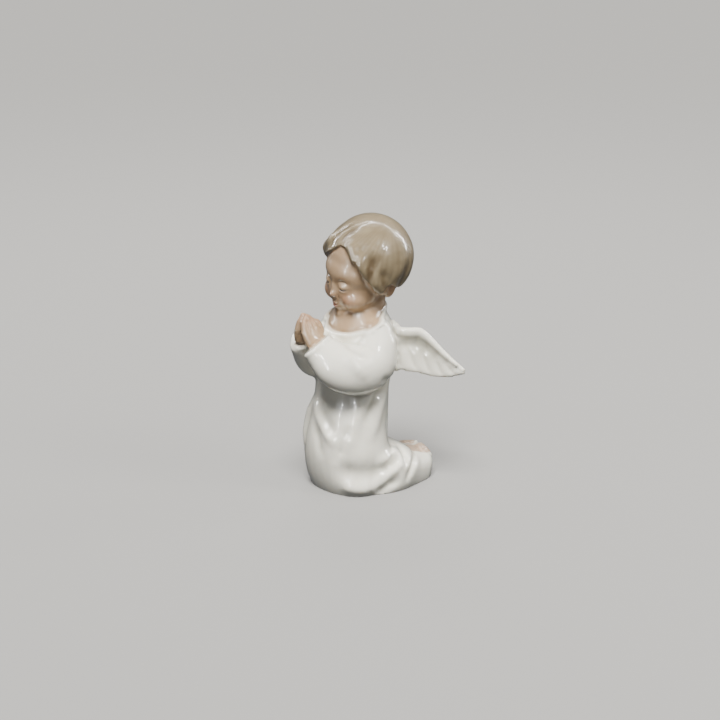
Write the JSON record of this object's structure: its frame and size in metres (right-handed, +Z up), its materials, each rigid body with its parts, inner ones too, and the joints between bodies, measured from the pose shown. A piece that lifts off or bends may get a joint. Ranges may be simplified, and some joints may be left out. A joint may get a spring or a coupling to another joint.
{
  "type": "glazed porcelain praying angel figurine",
  "caption": "Kneeling child angel in a loose gown with short hair, small swept-back wings and hands joined in prayer, cast and glazed as one piece that stands on a flat underside.",
  "frame": {"origin": "on the flat underside, below the figure's hips", "axes": "+Z up; the child faces -Y, and its left hand is towards +X"},
  "size_m": [0.0662, 0.0766, 0.1319],
  "materials": {
    "porcelain": "clear glaze over warm white porcelain with soft underglaze tints"
  },
  "bodies": {
    "root": {"angel_figurine": "porcelain"}
  },
  "joints": []
}
